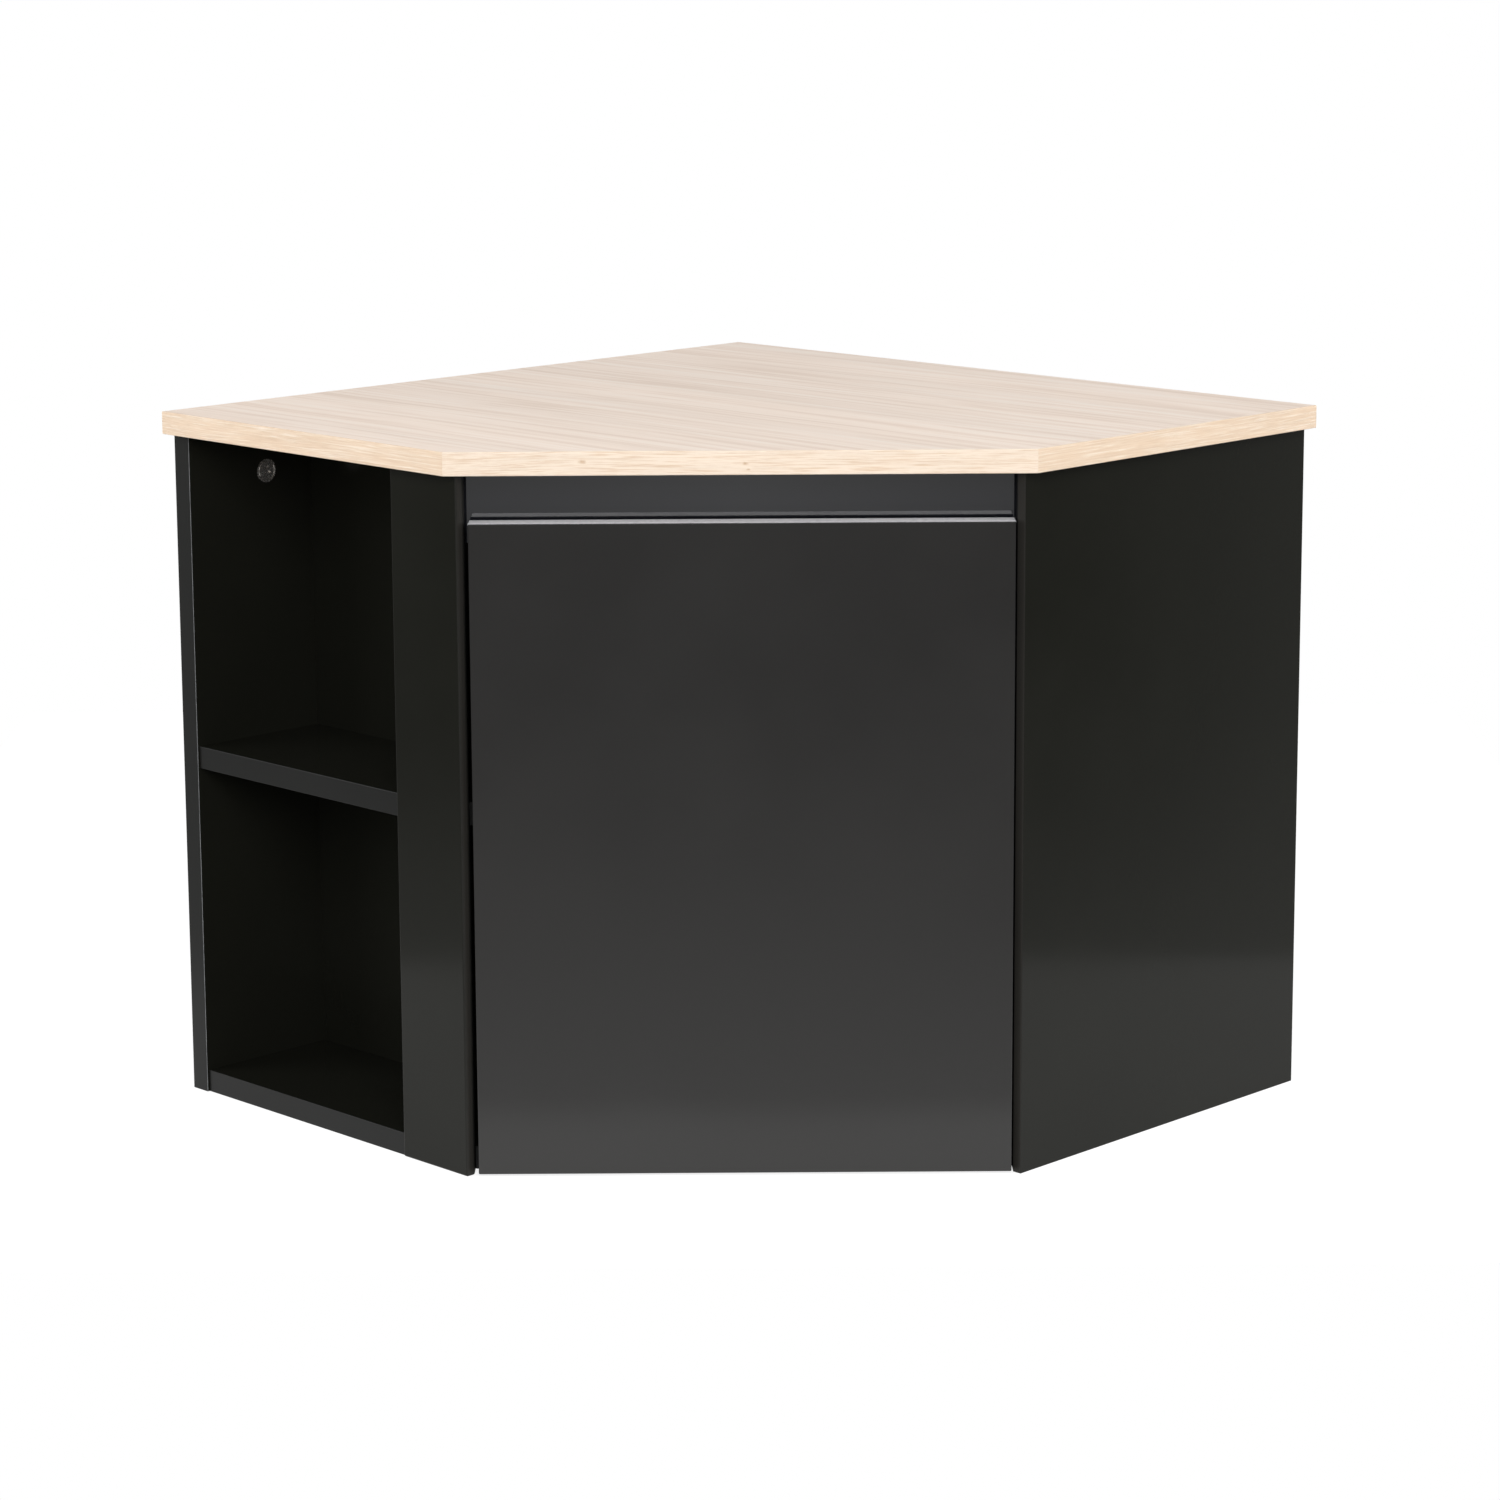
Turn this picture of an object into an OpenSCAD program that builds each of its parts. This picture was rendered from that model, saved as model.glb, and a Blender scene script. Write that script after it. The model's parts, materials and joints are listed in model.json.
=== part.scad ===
// Corner vanity unit: a pentagonal worktop on a carcass with an open niche at its left end,
// a diagonal door on concealed hinges and a closed right end.
// The left wall lies along -X and the rear wall along +Y. The origin is on the floor, under the
// middle of the worktop. All sizes are in millimetres.

/* [Worktop] */
// Length of the worktop along each wall
top_side = 680; // [640:5:820]
// Depth of the worktop at the niche end and at the right end
end_depth = 354; // [330:1:430]
// Thickness of the worktop board
top_t = 19; // [16:1:28]
// Thickness of the edge bands
band_t = 1.5; // [0.8:0.1:3]
// Overhang of the worktop past both ends of the carcass
end_overhang = 12; // [4:1:20]
// Overhang of the worktop past the front of the carcass
front_overhang = 8; // [2:1:16]

/* [Carcass] */
// Height of the upright boards
carcass_h = 568; // [460:1:700]
// Thickness of the carcass boards
board_t = 19; // [15:1:24]
// Width of the square nose that the uprights keep beside the door
nose_w = 8; // [5:1:10]
// Width of the stile between the niche and the door
stile_w = 78; // [60:1:100]
// Depth of the niche
niche_depth = 130; // [100:1:160]
// Setback of the niche shelf and the bottom from the niche end
niche_setback = 2; // [0:0.5:6]
// Height of the underside of both shelves
shelf_z = 283.5; // [200:0.5:340]
// Gap round the loose cupboard shelf
shelf_gap = 1; // [0.5:0.5:3]
// Width of the pipe space behind the cupboard shelf
pipe_space = 120; // [60:5:160]
// Height of the rear rails
rear_rail_h = 100; // [70:5:130]
// Width of the board between the rear rails, which leaves the corner open for the pipes
rear_board_w = 400; // [240:5:460]

/* [Grip rail] */
// Height of the grip rail
grip_h = 58; // [50:1:80]
// Setback of the grip rail's face from the front of the carcass
grip_setback = 27; // [24:1:40]

/* [Door] */
// Thickness of the door
door_t = 19; // [15:1:20]
// Gap between the door's top and the worktop
door_top_gap = 38.5; // [30:0.5:48]
// Height of the door's bottom edge above the floor
door_floor_gap = 2; // [1:0.5:6]
// Thickness of the band on the door's top edge
door_band_t = 1; // [0.4:0.1:2]
// Gap beside the door's free edge
free_gap = 3.5; // [2:0.5:5]
// Gap beside the door's hinged edge
hinge_gap = 1.5; // [1:0.5:3]
// Diameter of the door bumpers
bumper_d = 9; // [6:1:12]
// Distance of the bumpers from the door's edges
bumper_inset = 22; // [16:1:40]

/* [Hinges] */
// Distance of each hinge from the nearer end of the door
hinge_inset = 100; // [70:5:130]
// Diameter of the hinge cup
cup_d = 35; // [35:1:35]
// Depth of the hinge cup
cup_depth = 11.5; // [11:0.1:12.5]
// Wall of the hinge cup
cup_wall = 2; // [1.5:0.1:2]
// Distance from the door's edge to the cup's centre
cup_inset = 22.5; // [22:0.5:24]
// Diameter of the arm pins and coupler pins
pin_d = 4; // [3:0.5:4]
// Diameter of the cup pins
cup_pin_d = 3; // [2:0.5:3]
// Running clearance round a pin
pin_clearance = 0.05; // [0.02:0.01:0.1]
// Clearance round the cup pin, which closes the linkage
open_clearance = 0.3; // [0.2:0.1:0.4]

/* [Fittings] */
// Diameter of the cam locks
cam_d = 20; // [15:1:20]
// Depth of the cam locks
cam_depth = 12.5; // [11:0.5:13]
// Distance of the cam locks below the worktop
cam_drop = 39; // [30:1:45]
// Distance of the first cam lock behind the niche end
cam_setback = 82; // [50:1:100]
// Diameter of the dowels
dowel_d = 8; // [6:1:8]
// Depth of a dowel in a board's face
dowel_face = 10; // [8:1:12]
// Depth of a dowel in a board's edge
dowel_edge = 20; // [16:1:24]
// Diameter of the shelf pins
shelf_pin_d = 5; // [4:1:5]
// Diameter of the holes for wall screws
wall_hole_d = 7; // [5:0.5:9]

/* [Hidden] */

$fn = 64;
eps = 0.5;
root2 = sqrt(2);
oak = [0.87, 0.78, 0.68];
black = [0.10, 0.10, 0.10];
zinc = [0.66, 0.67, 0.69];
beech = [0.80, 0.66, 0.46];
clear = [0.85, 0.87, 0.88];
silver = [0.72, 0.72, 0.74];

// Plan of the carcass. The front is the line x - y = front_line.
half_side = top_side / 2;
wall_x = -half_side;
rear_y = half_side;
niche_y = end_overhang - half_side;
end_x = half_side - end_overhang;
front_line = end_depth - front_overhang * root2;
left_arris = [niche_y + front_line, niche_y];
right_arris = [end_x, end_x - front_line];
front_half = (end_x - left_arris.x) / root2;

// Inner faces of the boards
wall_in = wall_x + board_t;
end_in = end_x - board_t;
stile_in = niche_y + board_t;
rear_in = rear_y - board_t;
stile_left = left_arris.x - stile_w;
niche_back = niche_y + niche_depth;
side_in = stile_left + board_t;
back_in = niche_back + board_t;

// Where the relieved noses end, which is also where the bottom and the shelf start
relief = board_t - nose_w;
inner_set = nose_w / root2 + relief * root2;
jamb = front_half - nose_w / root2;

// Door, in the front's own axes: X along the front, Y into the cabinet
door_left = -jamb + free_gap;
door_right = jamb - hinge_gap;
door_top = carcass_h - door_top_gap;
hinge_low = door_floor_gap + hinge_inset;
hinge_high = door_top - hinge_inset;
bumper_edge = 3;
bumper_z = door_floor_gap + bumper_d / 2 + bumper_edge;
bumper_slack = 0.2;

// Hinge pins, from the door's front arris on the hinged side, where the door turns. The swing
// link joins the arm pin to the coupler pin, and the coupler joins that to the cup pin.
cup_pin_off = 1.5;
cup_pin_deep = 4.5;
arm_pin_in = 16;
arm_pin_back = 6.5;
cup_pin = [-cup_inset - cup_pin_off, door_t - cup_pin_deep];
arm_pin = [-arm_pin_in, door_t + arm_pin_back];
coupler_pin = arm_pin + cup_pin;
link_h = 6;
cheek_gap = 0.3;
cheek_t = 2.2;
ear_t = 3.2;
eye_r = 4.5;
ear_r = 5;
link_w = 7;
coupler_w = 6;
cup_eye_r = 3.2;
arm_l = 62;
arm_relief = 2.5;
coupler_web_start = 16;
coupler_web_l = 6;
arm_pin_world = front_line / 2 + (door_right + arm_pin.x - arm_pin.y) / root2;
arm_off = end_in - arm_pin_world;
plate_start = 24;
plate_l = 32;
plate_h = 11;
wing_l = 12;
wing_h = 50;
wing_t = 2;
plate_screw_y = plate_start + plate_l / 2;
plate_screw_z = 16;
adjusting_edge = 8;
adjusting_y = [plate_start + adjusting_edge, plate_start + plate_l - adjusting_edge];
adjusting_r = 2.6;
adjusting_l = 12;
adjusting_slot_w = 0.8;
adjusting_slot_deep = 0.8;
euro_r = 2.5;
flange_w = 18;
flange_h = 64;
flange_t = 1.2;
cup_screw_z = 26;
cup_screw_r = 1.75;
screw_head_r = 3.6;
screw_head_t = 1.6;
screw_l = 11;

// Cam locks that hold the worktop
cam_z = carcass_h - cam_drop;
bolt_r = 3;
bolt_head_r = 3.6;
bolt_bore_r = 4;
bolt_grip = 11;
bolt_tip = 1;
bolt_head_h = 5;
groove_inset = 1.8;
groove_w = 1;
groove_deep = 0.7;
cross_l = 9;
cross_w = 1.8;
cross_deep = 2;
cross_turn = 25;
cam_end_setback = 95;
cam_rear_setback = 80;
cam_left_y = [niche_y + cam_setback, rear_y - cam_rear_setback];
cam_right_y = [right_arris.y + cam_end_setback, rear_y - cam_rear_setback];
cam_spots = [
    for (y = cam_left_y) [wall_in, y, -1],
    for (y = cam_right_y) [end_in, y, 1]
];

// Worktop brackets: place on an upright's face and the direction away from it
bracket_w = 30;
bracket_leg = 28;
bracket_t = 2;
bracket_hole = 17;
bracket_head_r = 4;
bracket_back = grip_setback + board_t;
bracket_x = 120;
bracket_spots = [
    for (x = [-bracket_x, bracket_x]) concat(front_point(x, bracket_back), 45),
    [(wall_in + side_in) / 2, back_in, 0],
    [0, rear_in, 180]
];

// Holes for the screws that hold the unit to the walls
wall_hole_z = carcass_h - rear_rail_h / 2;
rear_hole_x = 200;
wall_hole_setback = [280, 150];
wall_hole_y = [for (setback = wall_hole_setback) rear_y - setback];

// Dowels: the point where two boards meet, and the direction from the face into the edge
mid_t = board_t / 2;
upright_z = [70, 220, 370, carcass_h - 50];
dowel_end = 60;
stile_dowels = [16, 48];
shelf_dowel_end = [35, 30];
shelf_dowel_shift = 15;
rail_dowel_end = 25;
grip_dowel_end = 14;
bottom_joints = [
    for (y = thirds(niche_y + dowel_end, rear_y - dowel_end)) [[wall_in, y, mid_t], [1, 0, 0]],
    for (y = thirds(right_arris.y + dowel_end, rear_y - dowel_end)) [[end_in, y, mid_t], [-1, 0, 0]],
    for (x = stile_dowels) [[stile_left + x, stile_in, mid_t], [0, 1, 0]]
];
niche_joints = [
    for (z = upright_z) [[wall_in, niche_back + mid_t, z], [1, 0, 0]],
    for (z = upright_z) [[stile_left + mid_t, stile_in, z], [0, 1, 0]],
    for (z = upright_z) [[stile_left + mid_t, niche_back, z], [0, -1, 0]]
];
shelf_dowel_y = [niche_y + shelf_dowel_end[0], niche_back - shelf_dowel_end[1]];
shelf_joints = [
    for (y = shelf_dowel_y) [[wall_in, y, shelf_z + mid_t], [1, 0, 0]],
    for (i = [0, 1]) [
        [stile_left, shelf_dowel_y[i] + (1 - 2 * i) * shelf_dowel_shift, shelf_z + mid_t],
        [-1, 0, 0]
    ]
];
rail_dowel_up = [rail_dowel_end, rear_rail_h - rail_dowel_end];
rail_z = [for (low = [board_t, carcass_h - rear_rail_h], up = rail_dowel_up) low + up];
rear_board_left = end_in - rear_board_w;
rear_board_z = [board_t + rear_rail_h, carcass_h - rear_rail_h];
rear_board_dowel_end = 50;
rear_board_dowels = [rear_board_left + rear_board_dowel_end, end_in - rear_board_dowel_end];
rail_joints = [
    for (z = rail_z) [[wall_in, rear_y - mid_t, z], [1, 0, 0]],
    for (z = rail_z) [[end_in, rear_y - mid_t, z], [-1, 0, 0]],
    for (x = rear_board_dowels) [[x, rear_y - mid_t, rear_board_z[0]], [0, 0, 1]],
    for (x = rear_board_dowels) [[x, rear_y - mid_t, rear_board_z[1]], [0, 0, -1]]
];
grip_dowel_r = 3;
grip_edge = 12;
grip_off = 9.5;
grip_z = [carcass_h - grip_h + grip_dowel_end, carcass_h - grip_dowel_end];
grip_joints = [
    for (z = grip_z) [concat(at_y(grip_setback, stile_in) - [grip_off, 0], z), [0, 1, 0]],
    for (z = grip_z) [concat(at_x(grip_setback, end_in) + [0, grip_off], z), [-1, 0, 0]]
];

// Pins under the cupboard shelf
shelf_pin_in = 10;
shelf_pin_out = 8;
shelf_pin_z = shelf_z - shelf_pin_d / 2;
shelf_back = rear_y - board_t - pipe_space;
shelf_pin_end = 40;
end_pin_setback = 60;
side_pin_setback = 30;
wall_pin_y = [back_in + shelf_pin_end, shelf_back - shelf_pin_end];
end_pin_y = [right_arris.y + end_pin_setback, shelf_back - shelf_pin_end];
wall_pin_joints = [for (y = wall_pin_y) [[wall_in, y, shelf_pin_z], [1, 0, 0]]];
end_pin_joints = [for (y = end_pin_y) [[end_in, y, shelf_pin_z], [-1, 0, 0]]];
side_pin_joints = [[[side_in, stile_in + side_pin_setback, shelf_pin_z], [1, 0, 0]]];

// A point given in the front's own axes, and where a line behind the front meets a board's face
function front_point(x, y) = [front_line / 2 + (x - y) / root2, -front_line / 2 + (x + y) / root2];
function at_y(depth, y) = [y + front_line - depth * root2, y];
function at_x(depth, x) = [x, x - front_line + depth * root2];

// The two ends of a row and its middle
function thirds(from, to) = [from, (from + to) / 2, to];

// ---------------------------------------------------------------- placing

module front() {
    translate([front_line / 2, -front_line / 2, 0]) rotate([0, 0, 45]) children();
}

module at_hinge(z) {
    front() translate([door_right, 0, z]) children();
}

// The arm's axes: X towards the right end panel, Y to the rear
module at_arm(z) {
    at_hinge(z) translate(arm_pin) rotate([0, 0, -45]) children();
}

// Turns +Z to one of the six axis directions
module along(dir) {
    upright = [dir.z < 0 ? 180 : 0, 0, 0];
    turn = dir.x != 0 ? [0, 90 * dir.x, 0] : dir.y != 0 ? [-90 * dir.y, 0, 0] : upright;
    rotate(turn) children();
}

// Turns +Z to the front's +Y, out of the door's back
module out_of_door() {
    rotate([-90, 0, 0]) children();
}

module pegs(joints, r, face, edge) {
    for (j = joints) translate(j[0]) along(j[1]) translate([0, 0, -face]) cylinder(r = r, h = face + edge);
}

module board(points, z, h) {
    translate([0, 0, z]) linear_extrude(h) polygon(points);
}

// ---------------------------------------------------------------- worktop

// Outline of the worktop moved in from its three visible edges
function top_outline(inset) = [
    [wall_x, inset - half_side],
    [inset * (1 - root2) - half_side + end_depth, inset - half_side],
    [half_side - inset, half_side - end_depth - inset * (1 - root2)],
    [half_side - inset, rear_y],
    [wall_x, rear_y]
];

module worktop() {
    color(oak) difference() {
        board(top_outline(band_t), carcass_h, top_t);
        cam_bolt_holes(carcass_h - eps, bolt_grip + eps, bolt_r);
        bracket_screw_shanks(cup_screw_r);
    }
}

// The band on the edge between two neighbouring corners of the outline
module band(first) {
    outer = top_outline(0);
    inner = top_outline(band_t);
    color(oak) board([outer[first], outer[first + 1], inner[first + 1], inner[first]], carcass_h, top_t);
}

module worktop_band_niche() { band(0); }

module worktop_band_front() { band(1); }

module worktop_band_end() { band(2); }

// ---------------------------------------------------------------- carcass

module left_wall_panel() {
    color(black) difference() {
        translate([wall_x, niche_y, 0]) cube([board_t, rear_y - niche_y, carcass_h]);
        cam_seats();
        dowel_holes();
        pegs(wall_pin_joints, shelf_pin_d / 2, shelf_pin_in, 0);
        for (y = wall_hole_y) translate([wall_x - eps, y, wall_hole_z]) along([1, 0, 0])
            cylinder(d = wall_hole_d, h = board_t + 2 * eps);
    }
}

module right_end_panel() {
    color(black) difference() {
        board([
            right_arris,
            [end_x, rear_y],
            [end_in, rear_y],
            [end_in, right_arris.y + relief],
            right_arris - [nose_w, 0]
        ], 0, carcass_h);
        cam_seats();
        dowel_holes();
        pegs(end_pin_joints, shelf_pin_d / 2, shelf_pin_in, 0);
        plate_screw_shanks();
    }
}

module front_stile() {
    color(black) difference() {
        board([
            left_arris,
            left_arris + [0, nose_w],
            [left_arris.x - relief, stile_in],
            [stile_left, stile_in],
            [stile_left, niche_y]
        ], 0, carcass_h);
        dowel_holes();
    }
}

module niche_back_panel() {
    color(black) difference() {
        translate([wall_in, niche_back, board_t])
            cube([side_in - wall_in, board_t, carcass_h - board_t]);
        dowel_holes();
        bracket_screw_shanks(cup_screw_r);
    }
}

module side_board() {
    translate([stile_left, stile_in, board_t]) cube([board_t, niche_back - stile_in, carcass_h - board_t]);
}

module niche_inner_side() {
    color(black) difference() {
        side_board();
        dowel_holes();
        pegs(side_pin_joints, shelf_pin_d / 2, shelf_pin_in, 0);
    }
}

module bottom_panel() {
    color(black) difference() {
        board([
            [wall_in, niche_y + niche_setback],
            [stile_left, niche_y + niche_setback],
            [stile_left, stile_in],
            at_y(inner_set, stile_in),
            at_x(inner_set, end_in),
            [end_in, rear_y],
            [wall_in, rear_y]
        ], 0, board_t);
        dowel_holes();
    }
}

module niche_shelf() {
    color(black) difference() {
        translate([wall_in, niche_y + niche_setback, shelf_z])
            cube([stile_left - wall_in, niche_depth - niche_setback, board_t]);
        dowel_holes();
    }
}

module cupboard_shelf() {
    front_edge = inner_set + 2 * shelf_gap;
    color(black) board([
        [side_in + shelf_gap, stile_in + shelf_gap],
        at_y(front_edge, stile_in + shelf_gap),
        at_x(front_edge, end_in - shelf_gap),
        [end_in - shelf_gap, shelf_back],
        [wall_in + shelf_gap, shelf_back],
        [wall_in + shelf_gap, back_in + shelf_gap],
        [side_in + shelf_gap, back_in + shelf_gap]
    ], shelf_z, board_t);
}

module grip_rail() {
    color(black) difference() {
        board([
            at_y(grip_setback, stile_in),
            at_x(grip_setback, end_in),
            at_x(grip_setback + board_t, end_in),
            at_y(grip_setback + board_t, stile_in)
        ], carcass_h - grip_h, grip_h);
        pegs(grip_joints, grip_dowel_r, 0, grip_edge);
        bracket_screw_shanks(cup_screw_r);
        side_board();
    }
}

module rear_rail(z) {
    color(black) difference() {
        translate([wall_in, rear_in, z]) cube([end_in - wall_in, board_t, rear_rail_h]);
        dowel_holes();
    }
}

module rear_top_rail() {
    color(black) difference() {
        rear_rail(carcass_h - rear_rail_h);
        bracket_screw_shanks(cup_screw_r);
        for (side = [-1, 1]) translate([side * rear_hole_x, rear_in - eps, wall_hole_z]) along([0, 1, 0])
            cylinder(d = wall_hole_d, h = board_t + 2 * eps);
    }
}

module rear_bottom_rail() { rear_rail(board_t); }

module rear_board() {
    color(black) difference() {
        translate([rear_board_left, rear_in, rear_board_z[0]])
            cube([rear_board_w, board_t, rear_board_z[1] - rear_board_z[0]]);
        dowel_holes();
    }
}

// ---------------------------------------------------------------- door

module door() {
    color(black) difference() {
        front() translate([door_left, 0, door_floor_gap])
            cube([door_right - door_left, door_t, door_top - door_band_t - door_floor_gap]);
        for (z = [hinge_low, hinge_high]) at_hinge(z) {
            translate([-cup_inset, door_t - cup_depth, 0]) out_of_door()
                cylinder(d = cup_d, h = cup_depth + eps);
            for (side = [-1, 1]) translate([-cup_inset, door_t - screw_l, side * cup_screw_z])
                out_of_door() cylinder(r = cup_screw_r, h = screw_l + eps);
        }
    }
}

module door_top_band() {
    color(silver) front() translate([door_left, 0, door_top - door_band_t])
        cube([door_right - door_left, door_t, door_band_t]);
}

module door_bumpers() {
    color(clear) front() for (x = [door_left + bumper_inset, door_right - bumper_inset])
        translate([x, door_t, bumper_z]) out_of_door()
            cylinder(d = bumper_d, h = inner_set - door_t - bumper_slack);
}

// ---------------------------------------------------------------- hinges

module hinge_cup(z) {
    color(zinc) at_hinge(z) difference() {
        union() {
            translate([-cup_inset, door_t - cup_depth, 0]) out_of_door() cylinder(d = cup_d, h = cup_depth);
            translate([-cup_inset - flange_w / 2, door_t, -flange_h / 2])
                cube([flange_w, flange_t, flange_h]);
        }
        translate([-cup_inset, door_t - cup_depth + cup_wall / 2, 0]) out_of_door()
            cylinder(d = cup_d - 2 * cup_wall, h = cup_depth + flange_t);
        for (side = [-1, 1]) translate([-cup_inset, door_t - eps, side * cup_screw_z])
            out_of_door() cylinder(r = cup_screw_r, h = flange_t + 2 * eps);
    }
}

module upper_hinge_cup() { hinge_cup(hinge_high); }

module lower_hinge_cup() { hinge_cup(hinge_low); }

// A flat bar between two eyes, from the origin along +X
module eye_bar(length, start_r, end_r, width, h) {
    cylinder(r = start_r, h = h);
    translate([0, -width / 2, 0]) cube([length, width, h]);
    translate([length, 0, 0]) cylinder(r = end_r, h = h);
}

// Places a bar that runs from one pin to another
module between(from, to) {
    step = to - from;
    translate(from) rotate([0, 0, atan2(step.y, step.x)]) children();
}

module swing_link(z) {
    length = norm(cup_pin);
    color(zinc) at_hinge(z - link_h / 2) between(arm_pin, coupler_pin) difference() {
        eye_bar(length, eye_r, eye_r, link_w, link_h);
        for (x = [0, length]) translate([x, 0, -eps])
            cylinder(r = pin_d / 2 + pin_clearance, h = link_h + 2 * eps);
    }
}

module upper_swing_link() { swing_link(hinge_high); }

module lower_swing_link() { swing_link(hinge_low); }

module coupler(z) {
    length = norm(arm_pin);
    full_h = link_h + 2 * (cheek_gap + cheek_t);
    color(zinc) at_hinge(z - full_h / 2) between(coupler_pin, cup_pin) difference() {
        union() {
            for (up = [0, full_h - cheek_t]) translate([0, 0, up])
                eye_bar(length, eye_r, cup_eye_r, coupler_w, cheek_t);
            translate([coupler_web_start, -coupler_w / 2, 0]) cube([coupler_web_l, coupler_w, full_h]);
        }
        translate([0, 0, -eps]) cylinder(d = pin_d, h = full_h + 2 * eps);
        translate([length, 0, -eps]) cylinder(r = cup_pin_d / 2 + open_clearance, h = full_h + 2 * eps);
    }
}

module upper_coupler() { coupler(hinge_high); }

module lower_coupler() { coupler(hinge_low); }

module hinge_arm(z) {
    full_h = link_h + 2 * (cheek_gap + ear_t);
    web_start = eye_r + arm_relief;
    color(zinc) at_arm(z - full_h / 2) difference() {
        union() {
            for (up = [0, full_h - ear_t]) translate([0, 0, up]) {
                cylinder(r = ear_r, h = ear_t);
                translate([-ear_r, 0, 0]) cube([2 * ear_r, web_start, ear_t]);
            }
            translate([-ear_r, web_start, 0]) cube([2 * ear_r, arm_l - web_start, full_h]);
        }
        translate([0, 0, -eps]) cylinder(d = pin_d, h = full_h + 2 * eps);
        translate([0, 0, full_h / 2]) adjusting_shanks();
    }
}

module upper_hinge_arm() { hinge_arm(hinge_high); }

module lower_hinge_arm() { hinge_arm(hinge_low); }

module hinge_plate(z) {
    color(zinc) difference() {
        at_arm(z) {
            translate([ear_r, plate_start, -plate_h / 2]) cube([arm_off - ear_r, plate_l, plate_h]);
            translate([arm_off - wing_t, plate_screw_y - wing_l / 2, -wing_h / 2])
                cube([wing_t, wing_l, wing_h]);
        }
        plate_screw_shanks();
        at_arm(z) adjusting_shanks();
    }
}

module upper_hinge_plate() { hinge_plate(hinge_high); }

module lower_hinge_plate() { hinge_plate(hinge_low); }

// The two screws through each arm that shift the door, from the arm's outer face into the plate
module adjusting_shanks() {
    for (y = adjusting_y) translate([-ear_r, y, 0]) rotate([0, 90, 0])
        cylinder(r = adjusting_r, h = adjusting_l);
}

module hinge_adjusting_screws() {
    slot_l = 2 * adjusting_r + eps;
    color(zinc) for (z = [hinge_low, hinge_high]) at_arm(z) difference() {
        adjusting_shanks();
        for (y = adjusting_y, turn = [0, 90]) translate([-ear_r, y, 0]) rotate([turn, 0, 0])
            cube([2 * adjusting_slot_deep, slot_l, adjusting_slot_w], center = true);
    }
}

module pins(spot, r, length) {
    color(zinc) for (z = [hinge_low, hinge_high]) at_hinge(z - length / 2) translate(spot)
        cylinder(r = r, h = length);
}

module hinge_arm_pins() { pins(arm_pin, pin_d / 2, link_h + 2 * (cheek_gap + ear_t)); }

module hinge_coupler_pins() { pins(coupler_pin, pin_d / 2, link_h + 2 * (cheek_gap + cheek_t)); }

// The cup pins reach from wall to wall of the cup
module hinge_cup_pins() {
    hollow_r = cup_d / 2 - cup_wall;
    edge = cup_pin_off + cup_pin_d / 2;
    pins(cup_pin, cup_pin_d / 2, 2 * sqrt(hollow_r * hollow_r - edge * edge));
}

module hinge_cup_screws() {
    color(zinc) for (z = [hinge_low, hinge_high], side = [-1, 1]) at_hinge(z + side * cup_screw_z)
        translate([-cup_inset, door_t - screw_l, 0]) out_of_door() {
            cylinder(r = cup_screw_r, h = screw_l + flange_t);
            translate([0, 0, screw_l + flange_t]) cylinder(r = screw_head_r, h = screw_head_t);
        }
}

module plate_screw_axes() {
    for (z = [hinge_low, hinge_high], side = [-1, 1]) at_arm(z + side * plate_screw_z)
        translate([arm_off - wing_t, plate_screw_y, 0]) rotate([0, 90, 0]) children();
}

module plate_screw_shanks() {
    plate_screw_axes() cylinder(r = euro_r, h = wing_t + screw_l);
}

module hinge_plate_screws() {
    color(zinc) {
        plate_screw_shanks();
        plate_screw_axes() translate([0, 0, -screw_head_t]) cylinder(r = screw_head_r, h = screw_head_t);
    }
}

// ---------------------------------------------------------------- fittings

module cam_bolt_holes(z, h, r) {
    for (s = cam_spots) translate([s.x + s.z * mid_t, s.y, z]) cylinder(r = r, h = h);
}

module cam_seats() {
    for (s = cam_spots) translate([s.x, s.y, cam_z]) along([s.z, 0, 0])
        translate([0, 0, -eps]) cylinder(d = cam_d, h = cam_depth + eps);
    cam_bolt_holes(cam_z - bolt_bore_r, cam_drop + bolt_bore_r + eps, bolt_bore_r);
}

// A round housing with a cross recess, open above for the bolt's head
module cam_locks() {
    groove_r = cam_d / 2 - groove_inset;
    color(zinc) difference() {
        for (s = cam_spots) translate([s.x, s.y, cam_z]) along([s.z, 0, 0]) difference() {
            cylinder(d = cam_d, h = cam_depth);
            difference() {
                translate([0, 0, -eps]) cylinder(r = groove_r + groove_w / 2, h = groove_deep + eps);
                translate([0, 0, -2 * eps])
                    cylinder(r = groove_r - groove_w / 2, h = groove_deep + 4 * eps);
            }
            for (turn = [cross_turn, cross_turn + 90]) rotate([0, 0, turn])
                translate([-cross_l / 2, -cross_w / 2, -eps]) cube([cross_l, cross_w, cross_deep + eps]);
        }
        cam_bolt_holes(cam_z - bolt_bore_r, cam_drop, bolt_bore_r);
    }
}

module cam_bolts() {
    color(zinc) {
        cam_bolt_holes(cam_z - bolt_tip, cam_drop + bolt_tip + bolt_grip, bolt_r);
        cam_bolt_holes(cam_z - bolt_head_h / 2, bolt_head_h, bolt_head_r);
    }
}

module dowel_holes() {
    r = dowel_d / 2;
    pegs(bottom_joints, r, dowel_face, dowel_edge);
    pegs(niche_joints, r, dowel_face, dowel_edge);
    pegs(shelf_joints, r, dowel_face, dowel_edge);
    pegs(rail_joints, r, dowel_face, dowel_edge);
    pegs(grip_joints, grip_dowel_r, dowel_face, 0);
}

module bottom_dowels() { color(beech) pegs(bottom_joints, dowel_d / 2, dowel_face, dowel_edge); }

module niche_dowels() { color(beech) pegs(niche_joints, dowel_d / 2, dowel_face, dowel_edge); }

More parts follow.
